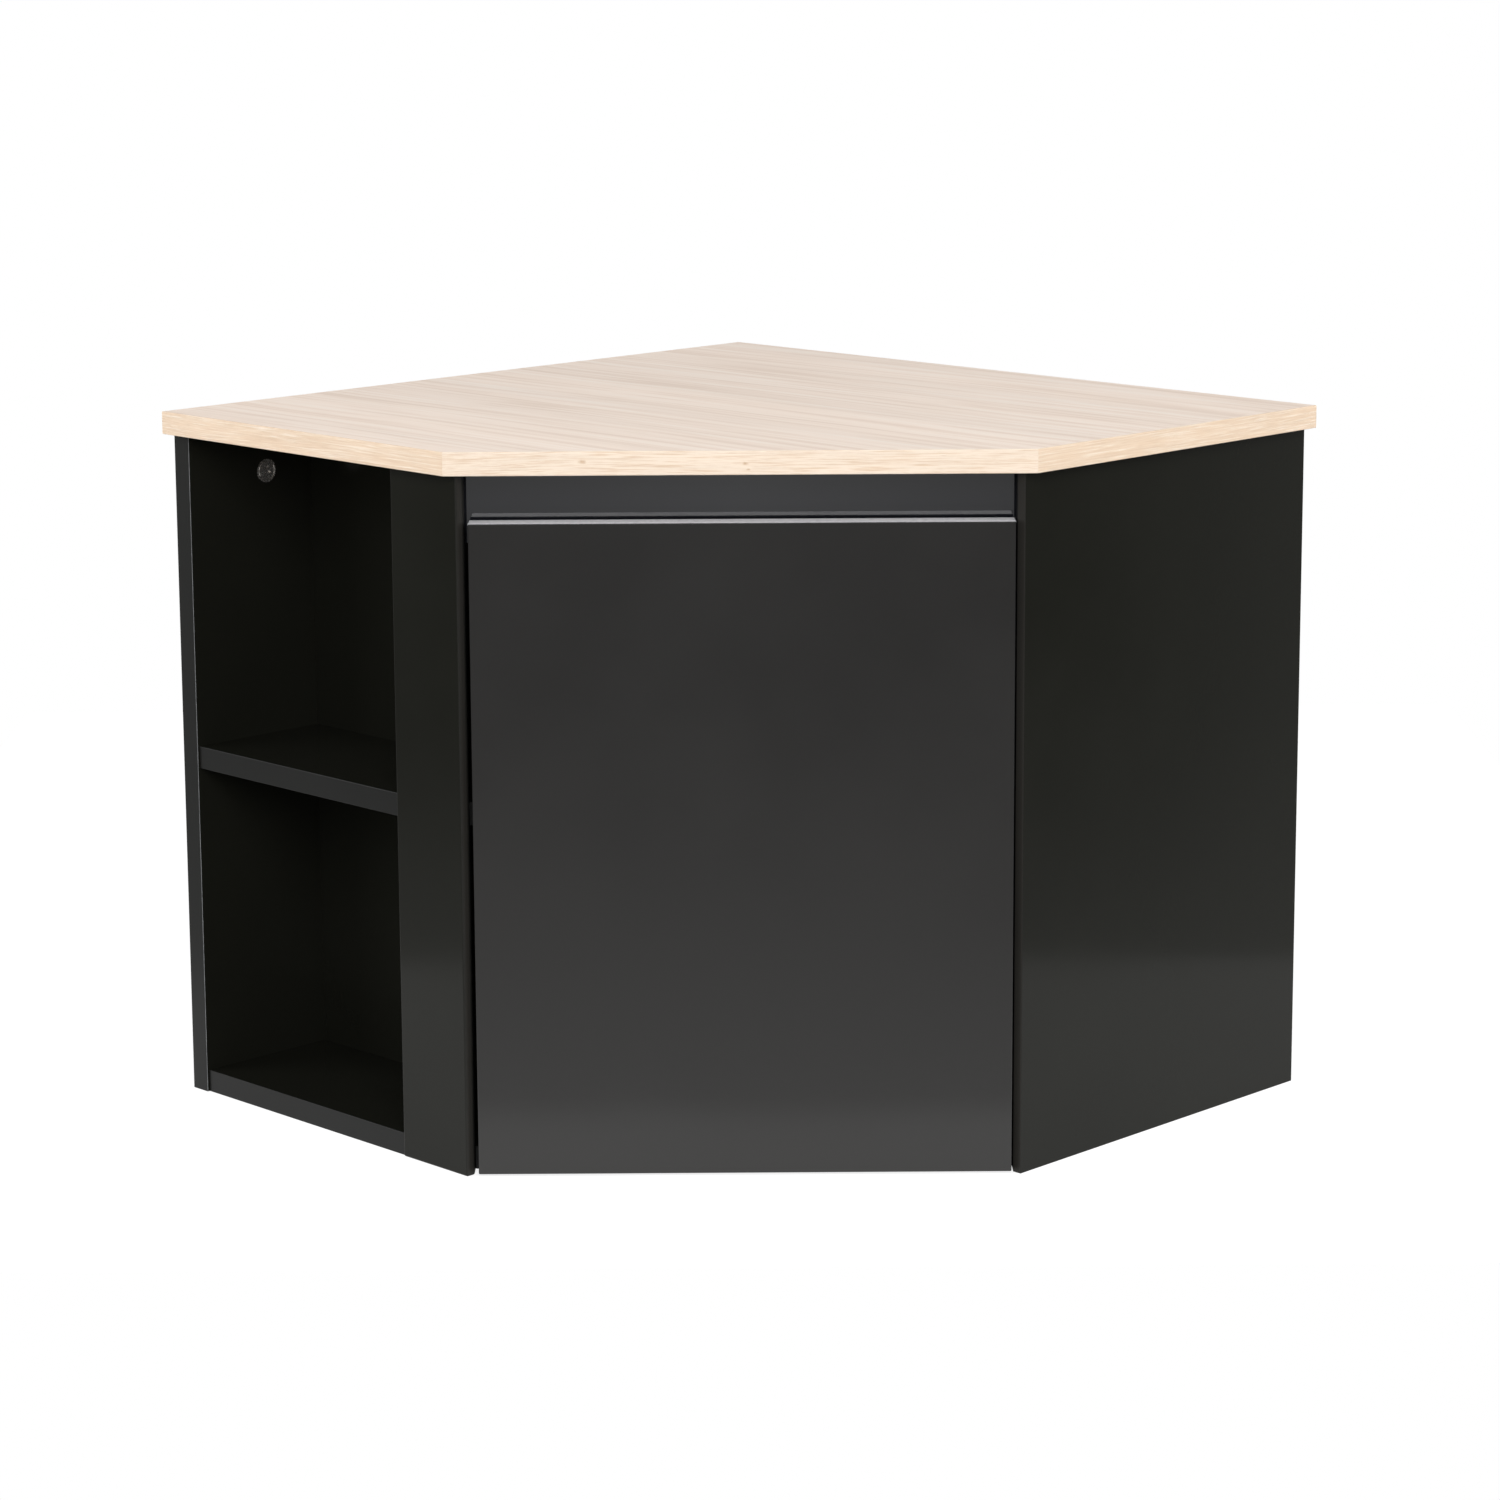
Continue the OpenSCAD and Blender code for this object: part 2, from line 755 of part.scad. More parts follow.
module shelf_dowels() { color(beech) pegs(shelf_joints, dowel_d / 2, dowel_face, dowel_edge); }

module rail_dowels() { color(beech) pegs(rail_joints, dowel_d / 2, dowel_face, dowel_edge); }

module grip_dowels() { color(beech) pegs(grip_joints, grip_dowel_r, dowel_face, grip_edge); }

module shelf_pins() {
    all_pins = concat(wall_pin_joints, end_pin_joints, side_pin_joints);
    color(zinc) pegs(all_pins, shelf_pin_d / 2, shelf_pin_in, shelf_pin_out);
}

// Axes of a bracket: X along the upright's face, Y away from it, Z up to the worktop
module at_brackets() {
    for (s = bracket_spots) translate([s[0], s[1], carcass_h]) rotate([0, 0, s[2]]) children();
}

module worktop_brackets() {
    color(zinc) difference() {
        at_brackets() {
            translate([-bracket_w / 2, 0, -bracket_leg]) cube([bracket_w, bracket_t, bracket_leg]);
            translate([-bracket_w / 2, 0, -bracket_t]) cube([bracket_w, bracket_leg, bracket_t]);
        }
        bracket_screw_shanks(cup_screw_r);
    }
}

// One screw goes into the upright and one up into the worktop
module bracket_screw_axes() {
    at_brackets() {
        translate([0, bracket_t, -bracket_hole]) rotate([90, 0, 0]) children();
        translate([0, bracket_hole, -bracket_t]) children();
    }
}

module bracket_screw_shanks(r) {
    bracket_screw_axes() cylinder(r = r, h = bracket_t + screw_l);
}

module bracket_screws() {
    color(zinc) {
        bracket_screw_shanks(cup_screw_r);
        bracket_screw_axes() translate([0, 0, -screw_head_t])
            cylinder(r = bracket_head_r, h = screw_head_t);
    }
}

worktop();
worktop_band_niche();
worktop_band_front();
worktop_band_end();
left_wall_panel();
right_end_panel();
front_stile();
niche_back_panel();
niche_inner_side();
bottom_panel();
niche_shelf();
cupboard_shelf();
grip_rail();
rear_top_rail();
rear_bottom_rail();
rear_board();
door();
door_top_band();
door_bumpers();
upper_hinge_cup();
lower_hinge_cup();
upper_hinge_arm();
lower_hinge_arm();
upper_hinge_plate();
lower_hinge_plate();
upper_swing_link();
lower_swing_link();
upper_coupler();
lower_coupler();
hinge_arm_pins();
hinge_coupler_pins();
hinge_cup_pins();
hinge_cup_screws();
hinge_plate_screws();
hinge_adjusting_screws();
cam_locks();
cam_bolts();
bottom_dowels();
niche_dowels();
shelf_dowels();
rail_dowels();
grip_dowels();
shelf_pins();
worktop_brackets();
bracket_screws();
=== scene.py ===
# Corner vanity unit: oak worktop, black carcass with an open niche, diagonal door on hinges.
# All sizes are in metres. The left wall lies along -X and the rear wall along +Y.
import json
import math

import bmesh
import bpy
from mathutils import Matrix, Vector

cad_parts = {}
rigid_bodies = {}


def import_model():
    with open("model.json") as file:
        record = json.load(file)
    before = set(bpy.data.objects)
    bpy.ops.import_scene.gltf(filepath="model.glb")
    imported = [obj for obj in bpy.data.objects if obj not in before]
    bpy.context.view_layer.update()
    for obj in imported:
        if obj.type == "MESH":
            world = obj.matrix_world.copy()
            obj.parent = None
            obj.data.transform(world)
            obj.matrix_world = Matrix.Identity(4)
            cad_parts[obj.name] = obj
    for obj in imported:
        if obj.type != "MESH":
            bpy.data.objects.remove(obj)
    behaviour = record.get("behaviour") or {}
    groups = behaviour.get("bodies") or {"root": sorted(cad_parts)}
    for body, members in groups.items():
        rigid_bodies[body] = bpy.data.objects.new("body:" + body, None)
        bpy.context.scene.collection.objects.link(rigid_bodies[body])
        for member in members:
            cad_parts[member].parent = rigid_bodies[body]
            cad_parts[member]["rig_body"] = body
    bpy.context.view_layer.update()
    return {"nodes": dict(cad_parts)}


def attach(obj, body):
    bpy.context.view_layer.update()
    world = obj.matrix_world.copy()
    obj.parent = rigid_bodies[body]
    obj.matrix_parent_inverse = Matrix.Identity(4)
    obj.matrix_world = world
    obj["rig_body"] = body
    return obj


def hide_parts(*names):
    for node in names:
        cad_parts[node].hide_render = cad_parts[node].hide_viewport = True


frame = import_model()
cad = frame["nodes"]

# ---------------------------------------------------------------- camera
# A long lens a little above the worktop, square to the door. It is tilted down and shifted a
# little, so that the uprights stay nearly parallel in the picture.

eye = (2.3979, -2.4057, 1.0345)
turn_degrees = (79.405, 0.271, 44.724)
focal_length = 98.59
sensor_width = 36
lens_drop = 0.08

lens = bpy.data.cameras.new("camera")
lens.lens = focal_length
lens.sensor_width = sensor_width
lens.shift_y = -lens_drop
camera = bpy.data.objects.new("camera", lens)
camera.location = eye
camera.rotation_euler = [math.radians(angle) for angle in turn_degrees]
bpy.context.scene.collection.objects.link(camera)
bpy.context.scene.camera = camera
bpy.context.scene.view_settings.view_transform = "Standard"

# ---------------------------------------------------------------- studio table
# A white table, square to the camera, on which the unit stands. It shows white in the
# picture and in gloss, but keeps the unit's shadow.

table_half_width = 0.88
table_front = 0.46
table_back = 1.6
table_white = (0.80, 0.80, 0.80, 1)
shown_share = 0.55
shown_strength = 1.45
to_backdrop = Vector((-0.7071, 0.7071, 0))
to_camera = -to_backdrop
to_the_left = to_camera.cross(Vector((0, 0, 1)))


def node(tree, kind, inputs=(), **settings):
    """Adds a shader node. Each input is a socket to link or a value to set."""
    made = tree.nodes.new("ShaderNode" + kind)
    for key, value in settings.items():
        setattr(made, key, value)
    for key, value in dict(inputs).items():
        if isinstance(value, bpy.types.NodeSocket):
            tree.links.new(value, made.inputs[key])
        else:
            made.inputs[key].default_value = value
    return made


def maths(tree, operation, *values):
    """The result of a sum on numbers, such as ADD or MULTIPLY."""
    return node(tree, "Math", enumerate(values), operation=operation).outputs[0]


def seen_in_picture(tree):
    """Two masks. The first is 1 for rays from the camera. The second is 1 for those too, and for
    rays off a gloss or through glass. Both are 0 for light on the object."""
    ray = node(tree, "LightPath").outputs
    gloss = maths(tree, "ADD", ray["Is Glossy Ray"], ray["Is Transmission Ray"])
    total = {0: ray["Is Camera Ray"], 1: gloss}
    return ray["Is Camera Ray"], node(tree, "Math", total, operation="ADD", use_clamp=True).outputs[0]


table_mesh = bpy.data.meshes.new("studio_table")
sheet = bmesh.new()
corners = [
    to_camera * reach + to_the_left * offset
    for reach, offset in (
        (table_front, table_half_width),
        (-table_back, table_half_width),
        (-table_back, -table_half_width),
        (table_front, -table_half_width),
    )
]
sheet.faces.new([sheet.verts.new(corner) for corner in corners])
bmesh.ops.recalc_face_normals(sheet, faces=sheet.faces)
sheet.to_mesh(table_mesh)
sheet.free()
table = bpy.data.objects.new("studio_table", table_mesh)
bpy.context.scene.collection.objects.link(table)

table_paint = bpy.data.materials.new("white_table")
table_paint.use_nodes = True
tree = table_paint.node_tree
tree.nodes.clear()
_, seen = seen_in_picture(tree)
glowing_share = maths(tree, "MULTIPLY", seen, shown_share)
matt = node(tree, "BsdfDiffuse", {"Color": table_white}).outputs[0]
glow = node(tree, "Emission", {"Strength": shown_strength}).outputs[0]
matt_and_glow = node(tree, "MixShader", {0: glowing_share, 1: matt, 2: glow}).outputs[0]
node(tree, "OutputMaterial", {"Surface": matt_and_glow})
table_mesh.materials.append(table_paint)

# ---------------------------------------------------------------- studio room
# The backdrop is white. The black boards mirror the rest of the room: a floor that grows
# paler towards the table, pale walls, and a darker room behind the camera.

# Even light on the object, from above and from below.
room_light = 0.45
floor_light = 0.28
# Levels that mirrored rays meet, where 1 is white. The camera stands in front.
room_in_front = 0.22
room_behind = 1.0
wall_in_front = 0.60
wall_in_front_aside = 0.36
floor_in_front = 0.31
floor_in_front_aside = 0.10
right_share = 0.6
floor_at_sides = 0.10
wall_at_sides = 0.45
floor_by_table = 0.82
floor_by_table_in_front = 1.1
# Where a ray's direction crosses from one level to the next: how far it points upwards,
# towards the backdrop, or to the side.
horizon = (-0.03, 0.0)
room_turn = (-0.3, 0.5)
front_sector = (-0.45, -0.85)
side_wall_turn = (0.085, 0.125)
front_wall_foot = (-0.170, -0.155)
front_wall_width = (0.0, 0.12)
front_floor_width = (0.0, 0.15)
right_turn = (0.0, -0.12)
table_approach = (-0.20, -0.29)
front_approach_lag = 0.012


def span(tree, value, from_low, from_high, to_low=0.0, to_high=1.0):
    """Maps a value from one range to another and holds it there."""
    return node(tree, "MapRange", {0: value, 1: from_low, 2: from_high, 3: to_low, 4: to_high}).outputs[0]


def blended(tree, share, first, second):
    """Blends two numbers."""
    return node(tree, "Mix", {0: share, 2: first, 3: second}).outputs[0]


def vector_maths(tree, operation, *values):
    """The result of a sum on vectors: a number for DOT_PRODUCT and LENGTH, else a vector."""
    made = node(tree, "VectorMath", enumerate(values), operation=operation)
    return made.outputs["Value" if operation in ("DOT_PRODUCT", "LENGTH") else "Vector"]


room = bpy.data.worlds.new("room")
room.use_nodes = True
bpy.context.scene.world = room
tree = room.node_tree
tree.nodes.clear()
from_camera, seen = seen_in_picture(tree)
direction = node(tree, "TexCoord").outputs["Generated"]
height = node(tree, "SeparateXYZ", {0: direction}).outputs["Z"]
backward = vector_maths(tree, "DOT_PRODUCT", direction, to_backdrop)
leftward = vector_maths(tree, "DOT_PRODUCT", direction, to_the_left)
aside = maths(tree, "ABSOLUTE", leftward)

mirrored_room = span(tree, backward, *room_turn, room_in_front, room_behind)
upper_half = blended(tree, seen, room_light, mirrored_room)

in_front = span(tree, backward, *front_sector)
front_floor = span(tree, aside, *front_floor_width, floor_in_front, floor_in_front_aside)
darker_right = span(tree, leftward, *right_turn, 1.0, right_share)
front_floor = maths(tree, "MULTIPLY", front_floor, darker_right)
front_wall = span(tree, aside, *front_wall_width, wall_in_front, wall_in_front_aside)
front_view = blended(tree, span(tree, height, *front_wall_foot), front_floor, front_wall)
side_view = span(tree, backward, *side_wall_turn, floor_at_sides, wall_at_sides)
far_view = blended(tree, in_front, side_view, front_view)
by_table = blended(tree, in_front, floor_by_table, floor_by_table_in_front)
lagging_height = maths(tree, "MULTIPLY_ADD", in_front, front_approach_lag, height)
mirrored_floor = blended(tree, span(tree, lagging_height, *table_approach), far_view, by_table)
lower_half = blended(tree, seen, floor_light, mirrored_floor)

surroundings = blended(tree, span(tree, height, *horizon), lower_half, upper_half)
strength = blended(tree, from_camera, surroundings, 1.0)
light = node(tree, "Background", {"Color": (1, 1, 1, 1), "Strength": strength}).outputs[0]
node(tree, "OutputWorld", {"Surface": light})

# ---------------------------------------------------------------- studio lamps
# Three square softboxes. Each is two lamps, one just in front of the other. Only the front
# one shows in gloss, so that the sheen on the pale worktop stays gentle from behind.

softbox_width = 1.6
gloss_share = 0.42
lamp_gap = 0.05
lamp_aim = Vector((0, 0, 0.35))
# name, watts, distance, compass angle and elevation in degrees
softboxes = [
    ("front_softbox", 69, 3.4, -45, 24),
    ("left_softbox", 37, 3.2, -128, 17),
    ("right_softbox", 36, 3.2, 30, 20),
]
for name, watts, distance, compass, elevation in softboxes:
    level_reach = math.cos(math.radians(elevation))
    towards = Vector((
        level_reach * math.cos(math.radians(compass)),
        level_reach * math.sin(math.radians(compass)),
        math.sin(math.radians(elevation)),
    ))
    halves = (
        ("matt", 1 - gloss_share, distance),
        ("gloss", gloss_share, distance - lamp_gap),
    )
    for half, share_of_watts, reach in halves:
        lamp_data = bpy.data.lights.new(f"{name}_{half}", "AREA")
        lamp_data.size = softbox_width
        lamp_data.energy = watts * share_of_watts
        lamp = bpy.data.objects.new(f"{name}_{half}", lamp_data)
        lamp.location = lamp_aim + towards * reach
        lamp.rotation_euler = towards.to_track_quat("Z", "Y").to_euler()
        lamp.visible_camera = False
        lamp.visible_glossy = half == "gloss"
        bpy.context.scene.collection.objects.link(lamp)

# ---------------------------------------------------------------- worktop
# Particle board faced above and below with a pale oak laminate. The grain runs along the
# niche end. The two edges at the walls are sawn and left bare.

laminate_roughness = (0.62, 0.54)
laminate_relief = 0.00002
sawn_roughness = 0.85
# A face that looks further up or down than this is faced with laminate.
faced_from = 0.5
# Most of a noise lies between these values.
most_noise = (0.3, 0.7)


def group(name, inputs, outputs):
    """A new node group with these sockets: its tree, its inputs and its output node."""
    tree = bpy.data.node_groups.new(name, "ShaderNodeTree")
    for label, (kind, value) in inputs.items():
        socket = tree.interface.new_socket(name=label, in_out="INPUT", socket_type="NodeSocket" + kind)
        if value is not None:
            socket.default_value = value
    for label, kind in outputs.items():
        tree.interface.new_socket(name=label, in_out="OUTPUT", socket_type="NodeSocket" + kind)
    return tree, tree.nodes.new("NodeGroupInput").outputs, tree.nodes.new("NodeGroupOutput")


def put(tree, values, finish):
    """Links each value to the group's output of that name."""
    for label, value in values.items():
        tree.links.new(value, finish.inputs[label])


def placed(tree, which, inputs):
    """The outputs of a node group placed in a material."""
    made = tree.nodes.new("ShaderNodeGroup")
    made.node_tree = which
    for key, value in inputs.items():
        if isinstance(value, bpy.types.NodeSocket):
            tree.links.new(value, made.inputs[key])
        else:
            made.inputs[key].default_value = value
    return made.outputs


def noise(tree, vector, scale, detail):
    """Noise of the same grain in every direction, between 0 and 1."""
    return node(tree, "TexNoise", {"Vector": vector, "Scale": scale, "Detail": detail}).outputs[0]


def stretched(tree, vector, along, across, detail, roughness=0.5):
    """Noise drawn out along X, between 0 and 1. Along and across are its waves per metre."""
    scaled = vector_maths(tree, "MULTIPLY", vector, (along, across, across))
    values = {"Vector": scaled, "Scale": 1.0, "Detail": detail, "Roughness": roughness}
    return node(tree, "TexNoise", values).outputs[0]


def mixed(tree, share, first, second):
    """Blends two colours."""
    made = node(tree, "Mix", data_type="RGBA")
    for place, value in ((0, share), (6, first), (7, second)):
        if isinstance(value, bpy.types.NodeSocket):
            tree.links.new(value, made.inputs[place])
        else:
            made.inputs[place].default_value = value
    return made.outputs[2]


def dimmed(tree, colour, factor):
    """A colour made paler or darker by a factor."""
    return node(tree, "VectorMath", {0: colour, "Scale": factor}, operation="SCALE").outputs[0]


def oak_grain():
    """Straight oak along X: dark and pale streaks, short fine pores and a faint cloud.
    Waves is how many streaks there are in a metre, along the grain and across it."""
    wander_scale = 2.6
    wander_width = 0.008
    dark_streaks = (0.50, 0.36)
    pale_streaks = (0.52, 0.66)
    pores = (0.60, 0.70)
    pore_strength = 0.7
    clouding = (0.97, 1.03)
    sockets = {
        "Vector": ("Vector", None),
        "Waves": ("Vector", (10.0, 200.0, 200.0)),
        "Wood": ("Color", (0.80, 0.64, 0.48, 1)),
        "Dark": ("Color", (0.60, 0.44, 0.30, 1)),
        "Pale": ("Color", (0.90, 0.76, 0.60, 1)),
    }
    tree, given, finish = group("oak_grain", sockets, {"Color": "Color", "Height": "Float"})
    bend = noise(tree, given["Vector"], wander_scale, 1.0)
    wander = span(tree, bend, 0.0, 1.0, -wander_width, wander_width)
    lean = node(tree, "CombineXYZ", {0: 0.0, 1: wander, 2: wander}).outputs[0]
    leaning = vector_maths(tree, "ADD", given["Vector"], lean)
    grain = vector_maths(tree, "MULTIPLY", leaning, given["Waves"])
    streak = stretched(tree, grain, 1.0, 1.0, 3.0, 0.62)
    fine = stretched(tree, grain, 2.6, 3.1, 2.0, 0.55)
    cloud = stretched(tree, grain, 0.35, 0.12, 2.0)
    dark = span(tree, streak, *dark_streaks)
    pale = span(tree, streak, *pale_streaks)
    pore = span(tree, fine, *pores, 0.0, pore_strength)
    wood = mixed(tree, dark, given["Wood"], given["Dark"])
    wood = mixed(tree, pale, wood, given["Pale"])
    wood = mixed(tree, pore, wood, given["Dark"])
    clouded = dimmed(tree, wood, span(tree, cloud, *most_noise, *clouding))
    put(tree, {"Color": clouded, "Height": maths(tree, "SUBTRACT", pale, pore)}, finish)
    return tree


def board_core():
    """Bare particle board: tan chips of several tones between fine dark gaps."""
    chips_per_metre = 420.0
    gap_width = 0.12
    darkest_chip = (0.36, 0.24, 0.14, 1)
    palest_chip = (0.66, 0.50, 0.33, 1)
    gap_brown = (0.20, 0.13, 0.08, 1)
    sockets = {"Vector": ("Vector", None)}
    tree, given, finish = group("board_core", sockets, {"Color": "Color", "Height": "Float"})
    where = {"Vector": given["Vector"], "Scale": chips_per_metre}
    chip = node(tree, "TexVoronoi", where).outputs["Color"]
    to_edge = node(tree, "TexVoronoi", where, feature="DISTANCE_TO_EDGE").outputs["Distance"]
    tone = node(tree, "SeparateColor", {0: chip}).outputs[0]
    wood = mixed(tree, tone, darkest_chip, palest_chip)
    inside = span(tree, to_edge, 0.0, gap_width)
    put(tree, {"Color": mixed(tree, inside, gap_brown, wood), "Height": inside}, finish)
    return tree


def new_material(name):
    """A material, its tree and its Principled shader."""
    made = bpy.data.materials.new(name)
    made.use_nodes = True
    return made, made.node_tree, made.node_tree.nodes["Principled BSDF"]


def turned(tree, degrees):
    """The object's own coordinates turned about Z, so that X runs along a piece."""
    own = node(tree, "TexCoord").outputs["Object"]
    turn = (0, 0, -math.radians(degrees))
    return node(tree, "Mapping", {"Vector": own, "Rotation": turn}).outputs[0]


def emboss(tree, shader, height, depth):
    """Raises the surface by a height map, without changing its shape."""
    bump = node(tree, "Bump", {"Height": height, "Distance": depth})
    tree.links.new(bump.outputs[0], shader.inputs["Normal"])


def dress(name, material):
    """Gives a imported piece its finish."""
    for place in cad[name].material_slots:
        place.material = material


oak = oak_grain()
core = board_core()

laminate, tree, shader = new_material("oak_laminate")
along_niche_end = turned(tree, 0)
grain = placed(tree, oak, {
    "Vector": along_niche_end,
    "Waves": (2.6, 120.0, 120.0),
    "Wood": (0.945, 0.80, 0.69, 1),
    "Dark": (0.84, 0.685, 0.572, 1),
    "Pale": (0.97, 0.85, 0.75, 1),
})
chips = placed(tree, core, {"Vector": along_niche_end})
upward = node(tree, "SeparateXYZ", {0: node(tree, "NewGeometry").outputs["True Normal"]}).outputs["Z"]
faced = maths(tree, "GREATER_THAN", maths(tree, "ABSOLUTE", upward), faced_from)
tree.links.new(mixed(tree, faced, chips["Color"], grain["Color"]), shader.inputs["Base Color"])
faced_roughness = span(tree, grain["Height"], -1.0, 1.0, *laminate_roughness)
tree.links.new(blended(tree, faced, sawn_roughness, faced_roughness), shader.inputs["Roughness"])
emboss(tree, shader, grain["Height"], laminate_relief)
dress("worktop", laminate)

# ---------------------------------------------------------------- worktop edge bands
# Oak bands 1.5 mm thick, glued to the three visible edges and rounded at both arrises.
# Their grain runs along the edge, warmer and livelier than the laminate's.

band_arris = 0.0007
band_roughness = (0.52, 0.42)
band_relief = 0.0001
# A pin knot's colour and strength, how much flatter it is than long, how ragged its edge is,
# and where it fades in and out, as shares of its size.
knot_brown = (0.62, 0.42, 0.26, 1)
knot_strength = 0.9
knot_flatness = (1.0, 1.0, 1.8)
knot_ragged_scale = 420.0
knot_fade = (1.6, 0.7)
# where each band's pin knots are, and how large
knots = {
    "worktop_band_front": (
        ((0.0907, -0.2639, 0.5790), 0.0036),
        ((0.1800, -0.1746, 0.5770), 0.0024),
        ((0.1817, -0.1729, 0.5722), 0.0018),
    ),
}
# name, compass angle of its grain, direction that it faces, colour of its wood
# The niche and end bands take a darker oak than the front band: painted shade on the bands that face the
# sides.
bands = [
    ("worktop_band_niche", 0, (0, -1, 0), (0.835, 0.655, 0.49, 1)),
    ("worktop_band_front", 45, (1, -1, 0), (0.92, 0.775, 0.635, 1)),
    ("worktop_band_end", 90, (1, 0, 0), (0.835, 0.655, 0.49, 1)),
]

# An arris where the faces meet at less than this angle, or that is shorter, isn't rounded.
sharp = math.radians(30)
usual_shortest = 0.005
rounding_steps = 4
# Vertices closer than this are welded, and faces closer to one plane than this are joined.
weld = 1e-6
one_plane = math.radians(0.6)
# Cosines: two directions that are the same, and a face that counts as edging.
same_way = 0.99
edging_way = 0.7


def looks(direction, *sides):
    """True if one of these faces looks in that direction."""
    return any(side.dot(Vector(direction).normalized()) > same_way for side in sides)


def around(direction):
    """Picks the arrises of a face that looks in that direction."""
    return lambda edge, *sides: looks(direction, *sides)


def away_from(direction):
    """Picks the arrises that aren't round a face that looks in that direction."""
    return lambda edge, *sides: not looks(direction, *sides)


def level_arrises(direction):
    """Picks the upper and lower arris of a face that looks in that direction."""
    return lambda edge, *sides: looks(direction, *sides) and (
        looks((0, 0, 1), *sides) or looks((0, 0, -1), *sides)
    )


def eased(name, radius, wanted=None, shortest=usual_shortest, edging=None):
    """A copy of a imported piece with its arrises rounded. It stands for the piece from then on.
    wanted picks arrises by their two faces' directions. The rounding is marked as 'arris', and
    the narrow faces that look in the direction of edging as 'edging'."""
    shape = bmesh.new()
    shape.from_mesh(cad[name].data)
    bmesh.ops.remove_doubles(shape, verts=shape.verts, dist=weld)
    bmesh.ops.dissolve_limit(shape, angle_limit=one_plane, verts=shape.verts, edges=shape.edges)
    shape.normal_update()
    arrises = []
    for edge in shape.edges:
        if len(edge.link_faces) == 2 and edge.calc_face_angle() > sharp and edge.calc_length() > shortest:
            sides = [face.normal for face in edge.link_faces]
            if wanted is None or wanted(edge, *sides):
                arrises.append(edge)
    rounding = shape.faces.layers.float.new("arris")
    rounded = bmesh.ops.bevel(
        shape, geom=arrises, offset=radius, offset_type="OFFSET", segments=rounding_steps,
        profile=0.5, affect="EDGES", clamp_overlap=True,
    )
    for face in rounded["faces"]:
        face[rounding] = 1.0
    banded = shape.faces.layers.float.new("edging")
    for face in shape.faces:
        if edging and face.normal.dot(Vector(edging).normalized()) > edging_way:
            face[banded] = 1.0
        face.smooth = True
    for edge in shape.edges:
        edge.smooth = len(edge.link_faces) == 2 and edge.calc_face_angle() < sharp
    mesh = bpy.data.meshes.new(name + "_eased")
    shape.to_mesh(mesh)
    shape.free()
    if "custom_normal" in mesh.attributes:
        mesh.attributes.remove(mesh.attributes["custom_normal"])
    piece = bpy.data.objects.new(name + "_eased", mesh)
    bpy.context.scene.collection.objects.link(piece)
    evened = piece.modifiers.new("even_shading", "WEIGHTED_NORMAL")
    evened.keep_sharp = True
    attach(piece, cad[name]["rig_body"])
    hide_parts(name)
    return piece


def knotted(tree, colour, place, size):
    """Adds a pin knot: a soft brown spot at a place in the piece, drawn out along the grain."""
    own = node(tree, "TexCoord").outputs["Object"]
    away = vector_maths(tree, "SUBTRACT", own, place)
    flatter = vector_maths(tree, "MULTIPLY", away, knot_flatness)
    reach = vector_maths(tree, "LENGTH", flatter)
    wavy = noise(tree, own, knot_ragged_scale, 2.0)
    ragged = maths(tree, "MULTIPLY_ADD", wavy, size, reach)
    outside, inside = (size * share for share in knot_fade)
    spot = span(tree, ragged, outside, inside, 0.0, knot_strength)
    return mixed(tree, spot, colour, knot_brown)


for name, compass, outward, wood in bands:
    band_oak, tree, shader = new_material(name + "_oak")
    grain = placed(tree, oak, {
        "Vector": turned(tree, compass),
        "Waves": (26.0, 980.0, 980.0),
        "Wood": wood,
        "Dark": (0.77, 0.58, 0.42, 1),
        "Pale": (0.93, 0.79, 0.65, 1),
    })
    colour = grain["Color"]
    for place, size in knots.get(name, ()):
        colour = knotted(tree, colour, place, size)
    tree.links.new(colour, shader.inputs["Base Color"])
    tree.links.new(span(tree, grain["Height"], -1.0, 1.0, *band_roughness), shader.inputs["Roughness"])
    emboss(tree, shader, grain["Height"], band_relief)
    eased(name, band_arris, level_arrises(outward)).data.materials.append(band_oak)

# ---------------------------------------------------------------- uprights
# Boards of 19 mm faced with near-black melamine, with well rounded arrises. The end panel and
# the stile have a nose beside the door, and the wall panel's front edge is the niche's post.

upright_arris = 0.0015
board_black = (0.0098, 0.0100, 0.0076, 1)
edge_black = (0.0125, 0.0127, 0.0120, 1)
nose_black = (0.024, 0.0225, 0.020, 1)
# Colours of the painted highlight on arrises that face up and to the right: faint, and bright for the
# niche's post.
arris_highlight_black = (0.016, 0.016, 0.014, 1)
arris_highlight_grey = (0.30, 0.31, 0.32, 1)
primer_grey = (0.03, 0.03, 0.03, 1)


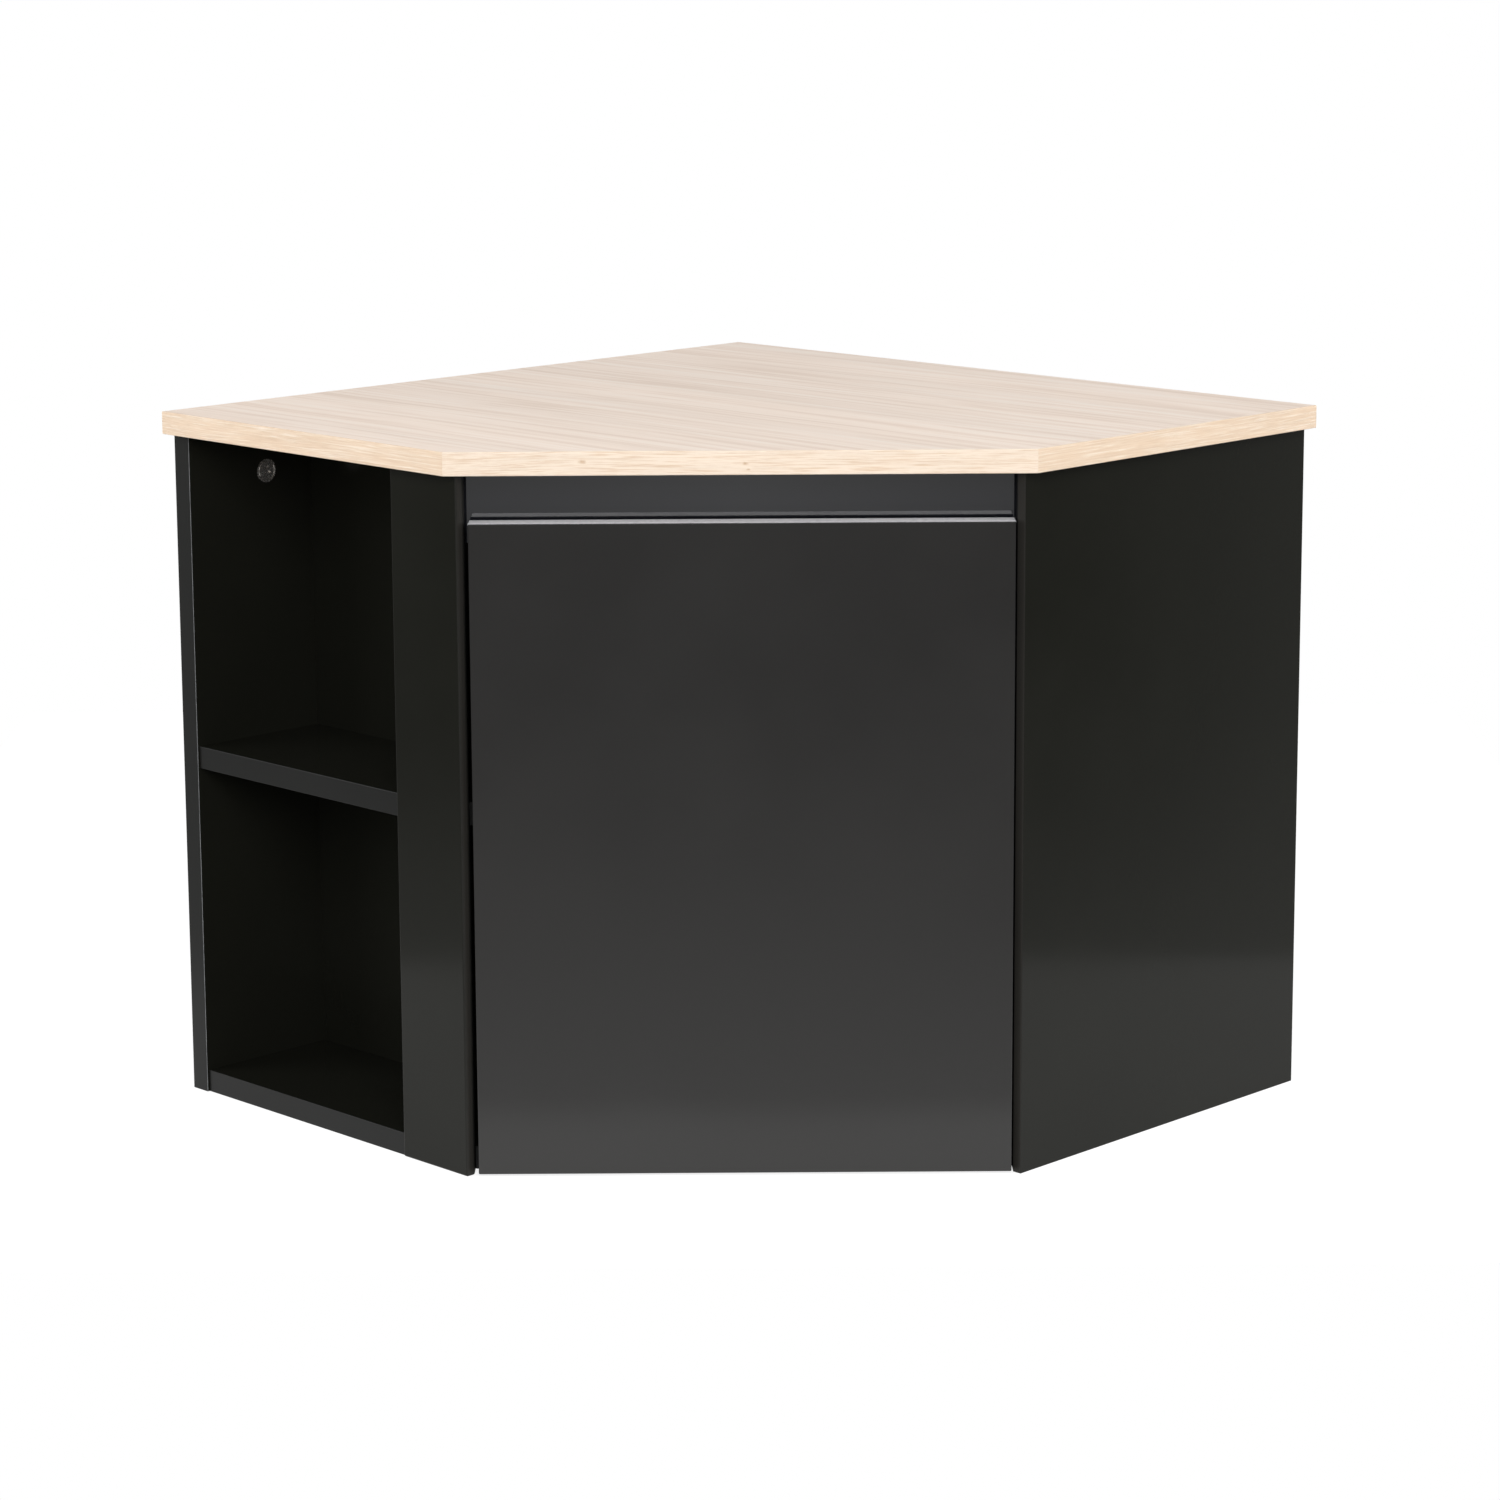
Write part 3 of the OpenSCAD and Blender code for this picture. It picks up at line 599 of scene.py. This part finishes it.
def board_skin():
    """A coated board: faint clouding, a fine skin like orange peel, duller edge bands and
    a painted highlight on the arrises that face up and to the right, broken up by noise."""
    cloud_scale = 7.0
    peel_scale = 700.0
    highlight_breakup_scale = 160.0
    clouding = (0.93, 1.07)
    highlight_breakup_range = (0.55, 1.0)
    upper_right = (1, 0, 1)
    highlight_facing = (0.1, 0.5)
    sockets = {
        "Vector": ("Vector", None),
        "Colour": ("Color", (0.02, 0.02, 0.02, 1)),
        "Edge colour": ("Color", (0.03, 0.03, 0.03, 1)),
        "Painted highlight colour": ("Color", (0.05, 0.05, 0.05, 1)),
        "Least roughness": ("Float", 0.2),
        "Most roughness": ("Float", 0.3),
        "Edge roughness": ("Float", 0.3),
        "Arris": ("Float", 0.0),
        "Edging": ("Float", 0.0),
    }
    outputs = {"Color": "Color", "Roughness": "Float", "Height": "Float"}
    tree, given, finish = group("board_skin", sockets, outputs)
    cloud = noise(tree, given["Vector"], cloud_scale, 3.0)
    peel = noise(tree, given["Vector"], peel_scale, 2.0)
    highlight_breakup = noise(tree, given["Vector"], highlight_breakup_scale, 4.0)
    surface = mixed(tree, given["Edging"], given["Colour"], given["Edge colour"])
    clouded = dimmed(tree, surface, span(tree, cloud, *most_noise, *clouding))
    facing = node(tree, "NewGeometry").outputs["Normal"]
    shown_way = vector_maths(tree, "DOT_PRODUCT", facing, upper_right)
    # Painted highlight: arrises that face up and to the right are made paler, unevenly.
    painted_highlight = maths(tree, "MULTIPLY", span(tree, shown_way, *highlight_facing), given["Arris"])
    uneven = maths(tree, "MULTIPLY", painted_highlight, span(tree, highlight_breakup, *most_noise, *highlight_breakup_range))
    shaded = mixed(tree, uneven, clouded, given["Painted highlight colour"])
    board_gloss = span(tree, cloud, *most_noise, given["Least roughness"], given["Most roughness"])
    gloss = blended(tree, given["Edging"], board_gloss, given["Edge roughness"])
    put(tree, {"Color": shaded, "Roughness": gloss, "Height": peel}, finish)
    return tree


skin = board_skin()


def coated(name, colour, painted_highlight, edge=None, roughness=(0.10, 0.15), specular=0.155, peel=0.000004):
    """A coated board's material: the colours of its faces, of the painted highlight on its
    arrises and of its edge bands, the range of its roughness, its specular level and the depth of its
    skin."""
    made, tree, shader = new_material(name)
    coat = placed(tree, skin, {
        "Vector": turned(tree, 0),
        "Colour": colour,
        "Painted highlight colour": painted_highlight,
        "Edge colour": edge or colour,
        "Least roughness": roughness[0],
        "Most roughness": roughness[1],
        "Arris": node(tree, "Attribute", attribute_name="arris").outputs["Fac"],
        "Edging": node(tree, "Attribute", attribute_name="edging").outputs["Fac"],
    })
    tree.links.new(coat["Color"], shader.inputs["Base Color"])
    tree.links.new(coat["Roughness"], shader.inputs["Roughness"])
    shader.inputs["Specular IOR Level"].default_value = specular
    emboss(tree, shader, coat["Height"], peel)
    return made


# Both carry a painted highlight on their up- and right-facing arrises; the wall panel's is much paler.
melamine = coated("black_melamine", board_black, arris_highlight_black, edge=nose_black)
arris_lit_melamine = coated("melamine_painted_bright_arrises", board_black, arris_highlight_grey, edge=edge_black)

# The reliefs beside the door, into which its edges close, are routed and only primed.
primer = coated(
    "matt_primer", board_black, board_black, edge=primer_grey, roughness=(0.6, 0.8), specular=0.0,
)
along_door = Vector((1, 1, 0)).normalized()
for name, nose in (("right_end_panel", (0, -1, 0)), ("front_stile", (1, 0, 0))):
    upright = eased(name, upright_arris, edging=nose)
    upright.data.materials.append(melamine)
    upright.data.materials.append(primer)
    for face in upright.data.polygons:
        if abs(face.normal.dot(along_door)) > same_way:
            face.material_index = 1
eased("left_wall_panel", upright_arris, edging=(0, -1, 0)).data.materials.append(arris_lit_melamine)

# ---------------------------------------------------------------- level and rear boards
# Boards of the same melamine between the uprights: two shelves, the bottom, two rails and a
# board at the rear wall, and the niche's back and side. Dowels hold all but the cupboard's
# loose shelf. Only the arrises that show are rounded.

board_arris = 0.0006
# Colour of the faint painted highlight on these boards' up- and right-facing arrises.
shelf_arris_highlight = (0.024, 0.025, 0.025, 1)

edged_melamine = coated("edged_melamine", board_black, shelf_arris_highlight, edge=edge_black)
# name, direction in which its shown edge looks, its finish
boards = [
    ("niche_shelf", (0, -1, 0), edged_melamine),
    ("bottom_panel", (0, -1, 0), edged_melamine),
    ("cupboard_shelf", (1, -1, 0), edged_melamine),
    ("rear_top_rail", (0, 1, 0), melamine),
    ("rear_bottom_rail", (0, 1, 0), melamine),
    ("rear_board", (0, 1, 0), melamine),
    ("niche_back_panel", (0, 1, 0), melamine),
    ("niche_inner_side", (0, 1, 0), melamine),
]
for name, outward, finish in boards:
    eased(name, board_arris, around(outward), edging=outward).data.materials.append(finish)

# ---------------------------------------------------------------- grip rail
# A lacquered board set back under the worktop. Fingers reach past the door's top edge to it,
# and its gloss mirrors that edge.

rail_black = (0.0074, 0.0079, 0.0102, 1)
# Colour of the painted highlight on the rail's up- and right-facing arrises.
rail_arris_highlight = (0.03, 0.03, 0.03, 1)

rail_lacquer = coated(
    "rail_lacquer", rail_black, rail_arris_highlight, roughness=(0.03, 0.05), specular=1.0, peel=0.000001,
)
eased("grip_rail", board_arris, around((0, 0, -1))).data.materials.append(rail_lacquer)

# ---------------------------------------------------------------- door
# A satin lacquered board with a silver band along its top edge, and two clear bumpers at
# the foot of its back.

door_arris = 0.0009
band_shortest = 0.0005
door_black = (0.0045, 0.0038, 0.0030, 1)
# Colour of the painted highlight on the door's up- and right-facing arrises.
door_arris_highlight = (0.010, 0.010, 0.010, 1)
band_front_black = (0.012, 0.012, 0.012, 1)
bumper_clearness = 0.6
bumper_roughness = 0.25
bumper_haze_scale = 400.0
bumper_tints = ((0.86, 0.88, 0.90, 1), (0.94, 0.95, 0.96, 1))

door_lacquer = coated("door_lacquer", door_black, door_arris_highlight, roughness=(0.18, 0.23), specular=0.7)
eased("door", door_arris, away_from((0, 0, 1))).data.materials.append(door_lacquer)


def plated_metal():
    """Plated or rolled metal: fine drawn lines along X and a faint uneven lustre."""
    waves_along = 30.0
    lustre_scale = 240.0
    dulling = (0.35, 0.75)
    sockets = {
        "Vector": ("Vector", None),
        "Metal": ("Color", (0.7, 0.7, 0.7, 1)),
        "Dull": ("Color", (0.5, 0.5, 0.5, 1)),
        "Least roughness": ("Float", 0.2),
        "Most roughness": ("Float", 0.35),
        "Lines": ("Float", 900.0),
    }
    outputs = {"Color": "Color", "Roughness": "Float", "Height": "Float"}
    tree, given, finish = group("plated_metal", sockets, outputs)
    across = given["Lines"]
    waves = node(tree, "CombineXYZ", {0: waves_along, 1: across, 2: across}).outputs[0]
    drawn = vector_maths(tree, "MULTIPLY", given["Vector"], waves)
    lines = noise(tree, drawn, 1.0, 3.0)
    lustre = noise(tree, given["Vector"], lustre_scale, 3.0)
    colour = mixed(tree, span(tree, lustre, *dulling), given["Metal"], given["Dull"])
    gloss = span(tree, lines, *most_noise, given["Least roughness"], given["Most roughness"])
    put(tree, {"Color": colour, "Roughness": gloss, "Height": lines}, finish)
    return tree


plating = plated_metal()


def metal(name, colour, dull, roughness, metallic=1.0, lines=900.0, relief=0.000008, turn=0, edging=None):
    """A metal's material: its bright and dull colours, the range of its roughness, the lines in
    a metre and their depth and compass angle. edging colours the faces marked as edging."""
    made, tree, shader = new_material(name)
    plate = placed(tree, plating, {
        "Vector": turned(tree, turn),
        "Metal": colour,
        "Dull": dull,
        "Least roughness": roughness[0],
        "Most roughness": roughness[1],
        "Lines": lines,
    })
    shade = plate["Color"]
    if edging:
        edged = node(tree, "Attribute", attribute_name="edging").outputs["Fac"]
        shade = mixed(tree, edged, shade, edging)
    tree.links.new(shade, shader.inputs["Base Color"])
    tree.links.new(plate["Roughness"], shader.inputs["Roughness"])
    shader.inputs["Metallic"].default_value = metallic
    emboss(tree, shader, plate["Height"], relief)
    return made


silver = metal(
    "silver_band", (0.93, 0.93, 0.97, 1), (0.70, 0.70, 0.74, 1), (0.28, 0.42), metallic=0.15,
    lines=260.0, relief=0.00002, turn=45, edging=band_front_black,
)
band = eased("door_top_band", door_arris, away_from((0, 0, -1)), band_shortest, edging=(1, -1, 0))
band.data.materials.append(silver)

clear_plastic, tree, shader = new_material("clear_bumper")
haze = node(tree, "TexNoise", {"Scale": bumper_haze_scale, "Detail": 2.0}).outputs[0]
tree.links.new(mixed(tree, haze, *bumper_tints), shader.inputs["Base Color"])
shader.inputs["Transmission Weight"].default_value = bumper_clearness
shader.inputs["Roughness"].default_value = bumper_roughness
dress("door_bumpers", clear_plastic)

# ---------------------------------------------------------------- hinges
# Two concealed hinges, nickel-plated and pressed from steel: a cup let into the door, an arm
# on a plate screwed to the right end panel, and a swing link and coupler on steel pins.

pressed_arris = 0.0004
pressed_shortest = 0.0015

nickel = metal("nickel_plate", (0.72, 0.70, 0.67, 1), (0.58, 0.56, 0.53, 1), (0.18, 0.30))
zinc_plate = metal("zinc_plated_steel", (0.66, 0.67, 0.69, 1), (0.50, 0.51, 0.54, 1), (0.26, 0.40))

for storey in ("upper", "lower"):
    for part in ("hinge_cup", "hinge_arm", "hinge_plate", "swing_link", "coupler"):
        pressed = eased(f"{storey}_{part}", pressed_arris, shortest=pressed_shortest)
        pressed.data.materials.append(nickel)

hinge_steel = (
    "hinge_arm_pins", "hinge_coupler_pins", "hinge_cup_pins",
    "hinge_cup_screws", "hinge_plate_screws", "hinge_adjusting_screws",
)
for name in hinge_steel:
    dress(name, zinc_plate)

# ---------------------------------------------------------------- cam locks and bolts
# Die-cast cams in the uprights' inner faces draw the worktop down on steel bolts. A cross
# recess takes the screwdriver.

cam_rim = 0.0009
cam_radius = 0.0095
cam_level = 0.529
cams_along_y = (-0.246, 0.0803, 0.26)

cast_zinc = metal(
    "cast_zinc", (0.60, 0.58, 0.55, 1), (0.40, 0.39, 0.37, 1), (0.16, 0.30), metallic=0.85,
)


def on_the_rim(edge, *sides):
    """True for the outer edge of a cam lock's face."""
    middle = (edge.verts[0].co + edge.verts[1].co) / 2
    reach = min(math.hypot(middle.y - y, middle.z - cam_level) for y in cams_along_y)
    return reach > cam_radius and (looks((1, 0, 0), *sides) or looks((-1, 0, 0), *sides))


eased("cam_locks", cam_rim, on_the_rim, shortest=0).data.materials.append(cast_zinc)
dress("cam_bolts", zinc_plate)

# ---------------------------------------------------------------- dowels
# Fluted beech dowels, glued into holes in the boards' edges and faces. They hold the level
# boards, the rails and the niche's boards between the uprights.

beech_roughness = 0.7
beech_relief = 0.0001

beech, tree, shader = new_material("beech")
grain = placed(tree, oak, {
    "Vector": turned(tree, 0),
    "Waves": (60.0, 900.0, 900.0),
    "Wood": (0.66, 0.45, 0.27, 1),
    "Dark": (0.50, 0.31, 0.17, 1),
    "Pale": (0.76, 0.56, 0.37, 1),
})
tree.links.new(grain["Color"], shader.inputs["Base Color"])
shader.inputs["Roughness"].default_value = beech_roughness
emboss(tree, shader, grain["Height"], beech_relief)
for name in ("bottom_dowels", "niche_dowels", "shelf_dowels", "rail_dowels", "grip_dowels"):
    dress(name, beech)

# ---------------------------------------------------------------- shelf pins and brackets
# Zinc-plated steel pins carry the loose shelf. Pressed angle brackets of the same steel hold
# the worktop from below, with screws.

dress("shelf_pins", zinc_plate)
eased("worktop_brackets", pressed_arris, shortest=pressed_shortest).data.materials.append(zinc_plate)
dress("bracket_screws", zinc_plate)
